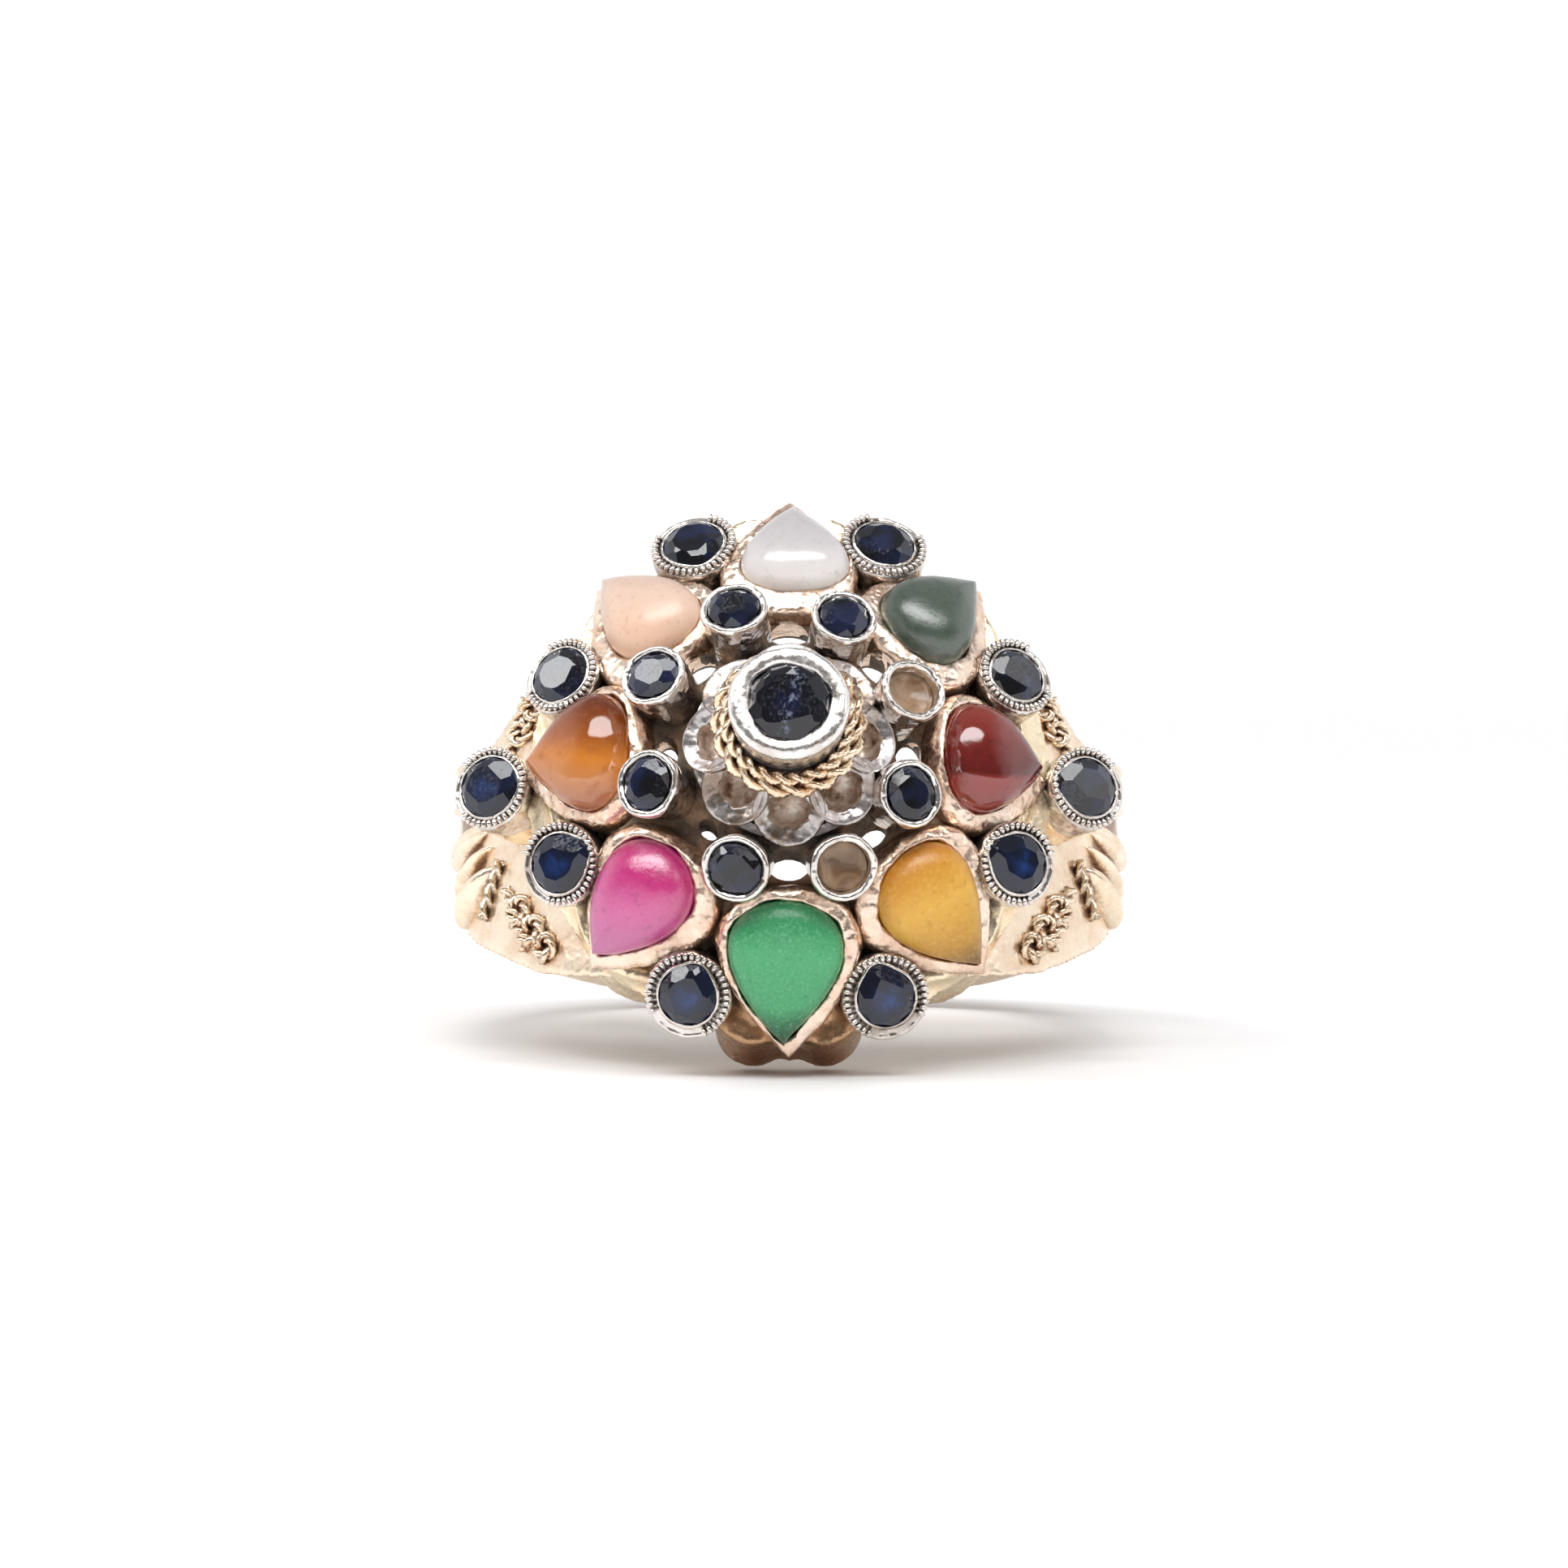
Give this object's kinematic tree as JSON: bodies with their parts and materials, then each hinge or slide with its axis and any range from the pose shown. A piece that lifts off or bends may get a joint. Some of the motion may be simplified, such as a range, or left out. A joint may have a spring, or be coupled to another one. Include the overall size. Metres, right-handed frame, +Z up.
{
  "type": "multi-stone cluster ring",
  "caption": "Finger ring with a tall domed crown of pear cabochons and small faceted stones in soldered collets, lying on its side.",
  "frame": {"origin": "middle of the finger hollow", "axes": "+Z up as the ring lies on its side, crown facing -Y and tipped up, +X across the hand"},
  "size_m": [0.0236, 0.0293, 0.0189],
  "materials": {
    "gold": "worn and tarnished in the crevices",
    "silver": "hand burnished, darkened in the crevices",
    "sapphire": "polished facets",
    "white_stone": "polished cabochon",
    "grey_green_stone": "polished cabochon",
    "red_stone": "polished cabochon",
    "yellow_stone": "polished cabochon",
    "green_stone": "polished cabochon",
    "pink_stone": "polished cabochon",
    "orange_stone": "polished cabochon",
    "peach_stone": "polished cabochon"
  },
  "bodies": {
    "root": {"mount": "gold", "sapphire_centre": "sapphire", "cabochon_white": "white_stone", "cabochon_grey_green": "grey_green_stone", "cabochon_red": "red_stone", "cabochon_yellow": "yellow_stone", "cabochon_green": "green_stone", "cabochon_pink": "pink_stone", "cabochon_orange": "orange_stone", "cabochon_peach": "peach_stone", "sapphire_outer_1": "sapphire", "sapphire_outer_2": "sapphire", "sapphire_outer_3": "sapphire", "sapphire_outer_4": "sapphire", "sapphire_outer_5": "sapphire", "sapphire_outer_6": "sapphire", "sapphire_outer_7": "sapphire", "sapphire_outer_8": "sapphire", "sapphire_outer_9": "sapphire", "sapphire_outer_10": "sapphire", "sapphire_inner_1": "sapphire", "sapphire_inner_2": "sapphire", "sapphire_inner_3": "sapphire", "sapphire_inner_4": "sapphire", "sapphire_inner_5": "sapphire", "sapphire_inner_6": "sapphire"}
  },
  "joints": []
}
